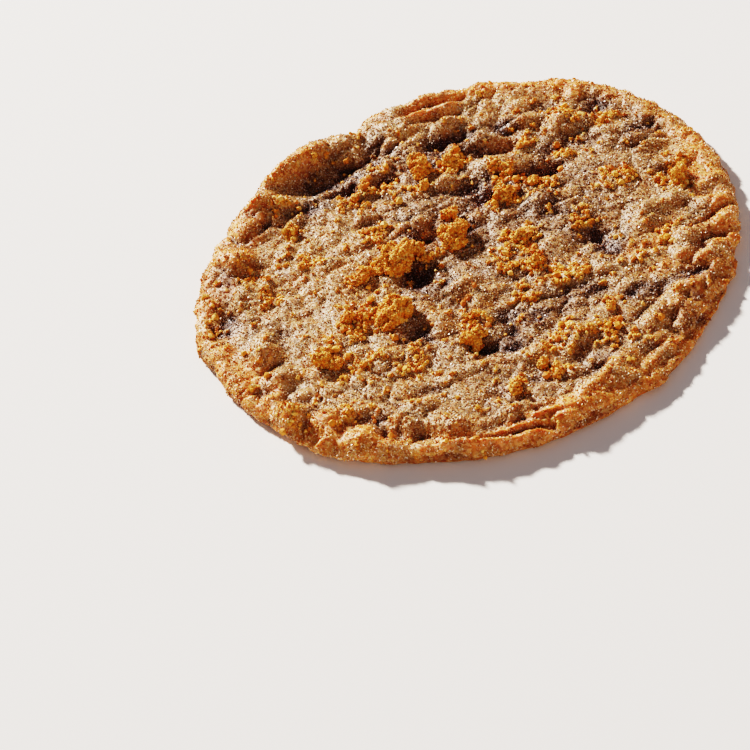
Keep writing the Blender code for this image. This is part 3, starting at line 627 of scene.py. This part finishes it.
def crust_colour(tree, tone, light, dark, edge):
    """A crust's colour, by a tone from 0 to 1 that picks it on three ramps of stops.

    The light ramp holds the open top, the dark one the hollows and the places painted darker, as
    baked colour with painted shade, and the edge the amber places. Where golden crumbs were strewn,
    it is their colour.
    """
    brown_and_shade_node = add_node(tree, "ShaderNodeAttribute", attribute_name="browned")
    amber_share = add_node(tree, "ShaderNodeAttribute", attribute_name="amber")
    open_top = add_node(tree, "ShaderNodeValToRGB", {"Fac": tone}, light)
    hollows = add_node(tree, "ShaderNodeValToRGB", {"Fac": tone}, dark)
    rim_crust = add_node(tree, "ShaderNodeValToRGB", {"Fac": tone}, edge)
    inputs = {"Factor_Float": amber_share.outputs["Fac"]}
    inputs.update({"A_Color": open_top, "B_Color": rim_crust})
    lit = add_node(tree, "ShaderNodeMix", inputs, data_type="RGBA").outputs[2]
    inputs = {"Factor_Float": brown_and_shade_node.outputs["Fac"], "A_Color": lit, "B_Color": hollows}
    plain = add_node(tree, "ShaderNodeMix", inputs, data_type="RGBA").outputs[2]
    golden_share = add_node(tree, "ShaderNodeAttribute", attribute_name="golden")
    crumbed = add_node(tree, "ShaderNodeValToRGB", {"Fac": tone}, CRUMB_STOPS)
    inputs = {"Factor_Float": golden_share.outputs["Fac"], "A_Color": plain, "B_Color": crumbed}
    return add_node(tree, "ShaderNodeMix", inputs, data_type="RGBA").outputs[2]


# The dough's skin: satin where it shows between the grains, with light that soaks into it, and
# mottled in cells of the grains' size.
CRUST_ROUGHNESS, CRUST_CELL = 0.55, 0.35
SOAK_SHARE, SOAK_COLOUR, SOAK_DEPTH = 1.0, (1.0, 0.6, 0.35), 1.2
DOUGH_LIGHT = ((0.0, "925C30"), (0.5, "BA8A52"), (1.0, "CEA87C"))
# The dark ramp is the crust in hollows and in places painted darker: browner, with painted shade.
DOUGH_DARK = ((0.0, "38190E"), (0.5, "5C301C"), (1.0, "7C5034"))
DOUGH_EDGE = ((0.0, "BE6828"), (0.5, "D88E44"), (1.0, "E6B270"))
crust, crust_tree, crust_shader = new_material("browned crust", CRUST_ROUGHNESS)
place = add_node(crust_tree, "ShaderNodeTexCoord")
inputs = {"Vector": place.outputs["Object"], "Scale": 1.0 / (CRUST_CELL * MM)}
cells = add_node(crust_tree, "ShaderNodeTexVoronoi", inputs)
cell_tone = add_node(crust_tree, "ShaderNodeSeparateColor", {"Color": cells.outputs["Color"]})
skin_colour = crust_colour(crust_tree, cell_tone, DOUGH_LIGHT, DOUGH_DARK, DOUGH_EDGE)
crust_tree.links.new(skin_colour, crust_shader.inputs["Base Color"])
crust_shader.inputs["Subsurface Weight"].default_value = SOAK_SHARE
crust_shader.inputs["Subsurface Radius"].default_value = SOAK_COLOUR
crust_shader.inputs["Subsurface Scale"].default_value = SOAK_DEPTH * MM
dough.data.materials.clear()
dough.data.materials.append(crust)
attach(dough, "root")
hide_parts("cookie")

# ---------------------------------------------------------------------------------------------
# The crust's grain: fine specks of dough, half sunk in the surface and packed side by side over
# the top. They are pale where the crust stands high and brown where it lies low, partly their own
# colour and partly painted shade, and amber at the rim, where fewer of them stick in the glaze.

SPECK_SIZE, SPECK_HEIGHT, SPECK_UNEVENNESS = 0.30, 0.24, 0.03
SPECK_SPACING, SPECK_SPREAD, SPECK_SUNK, SPECK_ROUGHNESS = 0.24, (0.6, 1.3), 0.02, 0.5
CROWDING = 1.2  # grains tried for each place that the spacing leaves


def scatter(name, surface, grain, spacing, weight, spread, sunk, seed):
    """Strews copies of a grain over a surface, at random turns and sizes, as one mesh.

    The weight names the surface's own value, from 0 for no grains to 1 for grains as close as
    the spacing. The spacing, and the depth that they are sunk by, are in millimetres. Each
    grain keeps a random tone, from 0 to 1.
    """
    tree = bpy.data.node_groups.new(name, "GeometryNodeTree")
    tree.interface.new_socket("Geometry", in_out="OUTPUT", socket_type="NodeSocketGeometry")
    ground = add_node(tree, "GeometryNodeObjectInfo", {"Object": surface})
    single = add_node(tree, "GeometryNodeObjectInfo", {"Object": grain})
    share = add_node(tree, "GeometryNodeInputNamedAttribute", {"Name": weight})
    inputs = {"Mesh": ground.outputs["Geometry"], "Distance Min": spacing * MM, "Seed": seed}
    inputs["Density Max"] = CROWDING / (spacing * MM) ** 2
    inputs["Density Factor"] = share.outputs["Attribute"]
    kind = "GeometryNodeDistributePointsOnFaces"
    spots = add_node(tree, kind, inputs, distribute_method="POISSON")
    inputs = {0: spots.outputs["Normal"], "Scale": -sunk * MM}
    down = add_node(tree, "ShaderNodeVectorMath", inputs, operation="SCALE")
    inputs = {"Geometry": spots.outputs["Points"], "Offset": down}
    placed = add_node(tree, "GeometryNodeSetPosition", inputs)
    inputs = {1: (math.tau, math.tau, math.tau), "Seed": seed}
    turn = add_node(tree, "FunctionNodeRandomValue", inputs, data_type="FLOAT_VECTOR")
    inputs = {2: spread[0], 3: spread[1], "Seed": seed + 1}
    size = add_node(tree, "FunctionNodeRandomValue", inputs)
    inputs = {"Points": placed, "Instance": single.outputs["Geometry"]}
    inputs.update({"Rotation": turn, "Scale": size.outputs[1]})
    copies = add_node(tree, "GeometryNodeInstanceOnPoints", inputs)
    tone = add_node(tree, "FunctionNodeRandomValue", {"Seed": seed + 2})
    inputs = {"Geometry": copies, "Name": "tone", "Value": tone.outputs[1]}
    toned = add_node(tree, "GeometryNodeStoreNamedAttribute", inputs, domain="INSTANCE")
    real = add_node(tree, "GeometryNodeRealizeInstances", {"Geometry": toned})
    add_node(tree, "NodeGroupOutput", {"Geometry": real})
    strewn = bpy.data.objects.new(name, bpy.data.meshes.new(name))
    bpy.context.collection.objects.link(strewn)
    bpy.ops.object.select_all(action="DESELECT")
    strewn.select_set(True)
    bpy.context.view_layer.objects.active = strewn
    strewn.modifiers.new("scatter", "NODES").node_group = tree
    bpy.ops.object.modifier_apply(modifier="scatter")
    strewn.data.materials.clear()
    return strewn


def grain_material(name, roughness, light, dark, edge):
    """A material for scattered grains of the crust, each in its own tone."""
    material, tree, shader = new_material(name, roughness)
    tone = add_node(tree, "ShaderNodeAttribute", attribute_name="tone").outputs["Fac"]
    colour = crust_colour(tree, tone, light, dark, edge)
    tree.links.new(colour, shader.inputs["Base Color"])
    return material


def roughen(offset, seed):
    """Moves each point of the active piece this far in millimetres, at random."""
    bpy.ops.object.mode_set(mode="EDIT")
    bpy.ops.transform.vertex_random(offset=offset * MM, seed=seed)
    bpy.ops.object.mode_set(mode="OBJECT")


bpy.ops.object.select_all(action="DESELECT")
bpy.ops.mesh.primitive_cone_add(
    vertices=3, radius1=SPECK_SIZE / 2.0 * MM, depth=SPECK_HEIGHT * MM
)
speck = bpy.context.object
roughen(SPECK_UNEVENNESS, 4)

# Dull grains of many tones: they make the crust look sandy.
SPECK_LIGHT = ((0.0, "A2784E"), (0.2, "C09A70"), (0.5, "D4B892"), (0.8, "DACAB8"), (1.0, "ECDECA"))
# The dark ramp is the grain in hollows and in places painted darker, with painted shade; its pale
# lilac greys are a painted sheen.
SPECK_DARK = ((0.0, "482C1E"), (0.3, "6E4C3A"), (0.65, "8E786C"), (0.85, "9A9298"), (1.0, "C6BAB8"))
SPECK_EDGE = ((0.0, "B8682E"), (0.25, "E09652"), (0.55, "F2BE8A"), (1.0, "FEE6CC"))
speck_crust = grain_material(
    "specks of crust", SPECK_ROUGHNESS, SPECK_LIGHT, SPECK_DARK, SPECK_EDGE
)
specks = scatter(
    "crust_specks", dough, speck, SPECK_SPACING, "grainy", SPECK_SPREAD, SPECK_SUNK, 11
)
specks.data.materials.append(speck_crust)
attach(specks, "root")

# ---------------------------------------------------------------------------------------------
# The sugar: clear and pale crystals that did not melt, caught in the crust's surface. Their
# flat faces glint wherever they catch the lamp.

CRYSTAL_SIZE, CRYSTAL_SHAPE = 0.26, 0.7  # its height is this share of its width
CRYSTAL_SPACING, CRYSTAL_SPREAD, CRYSTAL_SUNK, CRYSTAL_ROUGHNESS = 0.30, (0.7, 1.4), 0.02, 0.35

bpy.ops.object.select_all(action="DESELECT")
bpy.ops.mesh.primitive_cone_add(
    vertices=3, radius1=CRYSTAL_SIZE / 2.0 * MM, depth=CRYSTAL_SIZE * CRYSTAL_SHAPE * MM
)
crystal = bpy.context.object

# Pale and glossier than the specks: it sparkles where the lamp strikes it.
CRYSTAL_LIGHT = ((0.0, "C0B098"), (0.3, "D6C6AC"), (0.6, "D2C4BC"), (1.0, "ECDEC8"))
# The dark ramp is the sugar in hollows and in places painted darker, with painted shade; its pale
# lilac greys are a painted sheen.
CRYSTAL_DARK = ((0.0, "5A463C"), (0.4, "8E8088"), (1.0, "D4CCDA"))
CRYSTAL_EDGE = ((0.0, "D8A048"), (0.4, "E8C27C"), (0.8, "F4E0B4"), (1.0, "FFF4DC"))
sugar = grain_material(
    "sugar crystals", CRYSTAL_ROUGHNESS, CRYSTAL_LIGHT, CRYSTAL_DARK, CRYSTAL_EDGE
)
crystals = scatter(
    "sugar_crystals", dough, crystal, CRYSTAL_SPACING, "sugared", CRYSTAL_SPREAD, CRYSTAL_SUNK, 21
)
crystals.data.materials.append(sugar)
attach(crystals, "root")
bpy.data.objects.remove(crystal)

# ---------------------------------------------------------------------------------------------
# The toasted specks: bits of caramelised sugar and dough, deep orange and brown, dotted among
# the paler grain.

TOAST_SPACING, TOAST_SPREAD, TOAST_SUNK, TOAST_ROUGHNESS = 0.38, (0.7, 1.5), 0.02, 0.45

# Dark and slightly glossy: it peppers the crust and makes it look baked.
TOAST_LIGHT = ((0.0, "96643A"), (0.4, "B88C52"), (0.8, "D0A86C"), (1.0, "DEC094"))
# The dark ramp is the specks in hollows and in places painted darker, with painted shade.
TOAST_DARK = ((0.0, "281410"), (0.6, "4E3022"), (1.0, "74563E"))
TOAST_EDGE = ((0.0, "A45A20"), (0.4, "CC8838"), (1.0, "E4B062"))
toast = grain_material("toasted specks", TOAST_ROUGHNESS, TOAST_LIGHT, TOAST_DARK, TOAST_EDGE)
toasted = scatter(
    "toasted_specks", dough, speck, TOAST_SPACING, "grainy", TOAST_SPREAD, TOAST_SUNK, 31
)
toasted.data.materials.append(toast)
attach(toasted, "root")
bpy.data.objects.remove(speck)

# ---------------------------------------------------------------------------------------------
# The large crumbs: clumps of golden dough crumbs that fell on the top and stuck. They are
# blocks run together and crumbled, and they are covered in fine grains of their own.

BLOCK_SIDE, BLOCK_SUNK = 1.6, 0.15  # a block's side is this many times its radius
BLOCK_TURN = Vector((0.7, 1.9, 1.1))  # each block is turned on from the last one by this
FUSE_SIZE = 0.16  # the blocks are run together in steps of this size
CRUMBLES = ((1.6, 0.8), (0.6, 0.3))  # the size and depth of their coarse and fine crumbling
CRUMBLE_MIDDLE = 0.35
OVER_ALL = 20.0  # a height above the whole cookie

# The blocks: (x, y, height of the middle above the dough, radius), in millimetres.
CLUMPS = (
    # the clump at the far side
    (-2.9, 19.4, 1.2, 1.1), (-2.0, 18.8, 1.1, 1.0), (-2.6, 17.8, 0.7, 1.1), (-2.3, 19.8, 1.9, 0.6),
    (-2.4, 15.0, 0.5, 0.7),
    # the double clump behind the middle
    (-0.8, 7.4, 0.8, 0.8), (0.0, 7.8, 0.8, 0.8), (-1.2, 3.2, 1.0, 1.2), (0.3, 3.4, 1.1, 1.2),
    (-1.0, 1.8, 0.9, 1.2), (-0.2, 1.2, 0.8, 1.0), (-0.3, 2.6, 1.5, 0.9),
    # the largest clump, left of the middle
    (-10.2, 1.2, 0.9, 1.4), (-8.8, 3.0, 0.8, 1.3), (-8.7, 1.8, 1.4, 1.4), (-7.3, 1.5, 1.9, 1.2),
    (-8.3, 0.6, 1.9, 1.2), (-9.4, 0.2, 1.3, 1.2), (-6.8, 2.3, 1.3, 1.1), (-7.8, 0.9, 0.7, 1.3),
    # crumbs beside it
    (-13.6, 0.2, 0.5, 0.9), (-14.4, -0.4, 0.4, 0.6), (-12.6, 1.2, 0.5, 0.8), (-5.4, 1.4, 0.5, 0.8),
    (-4.6, 0.4, 0.4, 0.7),
    # the clump in front of it
    (-11.6, -7.8, 0.8, 1.3), (-10.2, -7.4, 1.1, 1.4), (-9.2, -8.4, 1.5, 1.2),
    (-9.4, -8.6, 0.5, 1.2), (-10.6, -9.2, 1.1, 1.2), (-12.4, -8.6, 0.5, 0.9),
    (-11.8, -10.2, 0.4, 0.8),
    # crumbs beside it
    (-14.5, -7.2, 0.3, 0.8), (-16.5, -6.7, 0.3, 0.8),
    # in front of the middle
    (-2.6, -17.0, 0.5, 1.0), (-1.2, -16.8, 0.5, 1.0), (-1.8, -17.8, 0.4, 0.9),
    (-1.8, -12.9, 0.2, 0.7), (-0.6, -12.6, 0.2, 0.7),
    # near the left rim
    (-20.8, -13.2, 0.6, 1.1), (-19.6, -14.0, 0.5, 1.0), (-20.4, -12.2, 0.6, 0.8),
    # right of the middle
    (7.2, -0.8, 0.3, 1.0), (8.2, -0.4, 0.3, 0.9), (8.4, -6.8, 0.3, 0.8), (6.8, 7.9, 0.2, 0.9),
    (8.0, 8.3, 0.2, 0.8), (11.6, 9.4, 0.2, 0.8), (1.6, 18.2, 0.3, 0.9), (2.6, 17.6, 0.2, 0.8),
    # near the rims
    (1.4, -28.4, 0.6, 0.8), (1.6, -27.4, 0.6, 0.6), (6.8, -27.8, 0.6, 0.6), (6.9, -26.8, 0.8, 0.5),
    (5.4, -25.2, 0.4, 0.6), (15.5, -18.8, 0.3, 0.7), (29.2, 1.6, 0.4, 0.9), (30.0, 2.6, 0.4, 0.8),
    (-21.2, 14.0, 0.3, 0.8), (-11.8, 17.2, 0.2, 0.7),
)
clumps = []
for x_mm, y_mm, lift, radius_mm in CLUMPS:
    above = Vector((x_mm, y_mm, OVER_ALL)) * MM
    hit = dough.ray_cast(above, Vector((0.0, 0.0, -1.0)))[1]
    middle = Vector((x_mm * MM, y_mm * MM, hit.z + (lift - BLOCK_SUNK) * MM))
    side = BLOCK_SIDE * radius_mm * MM
    turn = BLOCK_TURN * len(clumps)
    bpy.ops.mesh.primitive_cube_add(size=side, location=middle, rotation=turn)
    clumps.append(bpy.context.object)
bpy.ops.object.select_all(action="DESELECT")
for block in clumps:
    block.select_set(True)
crumbs = clumps[0]
bpy.context.view_layer.objects.active = crumbs
bpy.ops.object.join()
crumbs.name = "large_crumbs"
bpy.ops.object.transform_apply(location=True, rotation=True, scale=True)
fuse = crumbs.modifiers.new("fuse", "REMESH")
fuse.mode = "VOXEL"
fuse.voxel_size = FUSE_SIZE * MM
bpy.ops.object.modifier_apply(modifier="fuse")
for size, depth in CRUMBLES:
    texture = bpy.data.textures.new("crumble", "CLOUDS")
    texture.noise_type = "HARD_NOISE"
    texture.noise_scale = size * MM
    texture.noise_depth = 1
    crumble = crumbs.modifiers.new("crumble", "DISPLACE")
    crumble.texture = texture
    crumble.texture_coords = "LOCAL"
    crumble.strength = depth * MM
    crumble.mid_level = CRUMBLE_MIDDLE
    bpy.ops.object.modifier_apply(modifier="crumble")
crumbs.data.shade_smooth()
whole = np.ones(len(crumbs.data.vertices))
crumbs.data.attributes.new("whole", "FLOAT", "POINT").data.foreach_set("value", whole)

# Dry and golden, with a little light soaking in: it stands out warm against the sandy crust.
CRUMB_ROUGHNESS, CRUMB_CELL = 0.7, 0.3
CRUMB_SOAK_SHARE, CRUMB_SOAK_COLOUR, CRUMB_SOAK_DEPTH = 0.3, (1.0, 0.4, 0.1), 0.8
crumb, crumb_tree, crumb_shader = new_material("golden crumb", CRUMB_ROUGHNESS)
crumb_shader.inputs["Subsurface Weight"].default_value = CRUMB_SOAK_SHARE
crumb_shader.inputs["Subsurface Radius"].default_value = CRUMB_SOAK_COLOUR
crumb_shader.inputs["Subsurface Scale"].default_value = CRUMB_SOAK_DEPTH * MM
place = add_node(crumb_tree, "ShaderNodeTexCoord")
inputs = {"Vector": place.outputs["Object"], "Scale": 1.0 / (CRUMB_CELL * MM)}
cells = add_node(crumb_tree, "ShaderNodeTexVoronoi", inputs)
cell_tone = add_node(crumb_tree, "ShaderNodeSeparateColor", {"Color": cells.outputs["Color"]})
crumb_colour = add_node(crumb_tree, "ShaderNodeValToRGB", {"Fac": cell_tone}, CRUMB_STOPS)
crumb_tree.links.new(crumb_colour.outputs["Color"], crumb_shader.inputs["Base Color"])
crumbs.data.materials.clear()
crumbs.data.materials.append(crumb)
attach(crumbs, "root")

# The grain on the clumps.
MORSEL_SIZE, MORSEL_UNEVENNESS = 0.30, 0.03
MORSEL_SPACING, MORSEL_SPREAD, MORSEL_SUNK = 0.24, (0.7, 1.5), 0.02

bpy.ops.object.select_all(action="DESELECT")
bpy.ops.mesh.primitive_uv_sphere_add(segments=5, ring_count=3, radius=MORSEL_SIZE / 2.0 * MM)
morsel = bpy.context.object
roughen(MORSEL_UNEVENNESS, 2)

# Dry grains in the clumps' own colours: they make the clumps look crumbly.
crumb_grain, grain_tree, grain_shader = new_material("grain of golden crumb", CRUMB_ROUGHNESS)
tone = add_node(grain_tree, "ShaderNodeAttribute", attribute_name="tone").outputs["Fac"]
grain_colour = add_node(grain_tree, "ShaderNodeValToRGB", {"Fac": tone}, CRUMB_STOPS)
grain_tree.links.new(grain_colour.outputs["Color"], grain_shader.inputs["Base Color"])
morsels = scatter(
    "large_crumb_grain", crumbs, morsel, MORSEL_SPACING, "whole", MORSEL_SPREAD, MORSEL_SUNK, 41
)
morsels.data.materials.append(crumb_grain)
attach(morsels, "root")
bpy.data.objects.remove(morsel)

# ---------------------------------------------------------------------------------------------
# The small crumbs: the same golden crumbs, fallen apart into grains that lie loose in drifts,
# with a few larger bits among them.

DRIFT_KINDS = (("fine_crumbs", 0.40, 0.36, 51), ("small_crumbs", 0.75, 1.0, 61))
DRIFT_UNEVENNESS, DRIFT_LIFT, DRIFT_SPREAD = 0.2, 0.05, (0.5, 1.5)  # shares of their size

for name, size, spacing, seed in DRIFT_KINDS:
    bpy.ops.object.select_all(action="DESELECT")
    bpy.ops.mesh.primitive_ico_sphere_add(subdivisions=1, radius=size / 2.0 * MM)
    piece = bpy.context.object
    roughen(size * DRIFT_UNEVENNESS, seed)
    lift = size * DRIFT_LIFT
    drift = scatter(name, dough, piece, spacing, "golden", DRIFT_SPREAD, -lift, seed)
    drift.data.materials.append(crumb_grain)
    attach(drift, "root")
    bpy.data.objects.remove(piece)
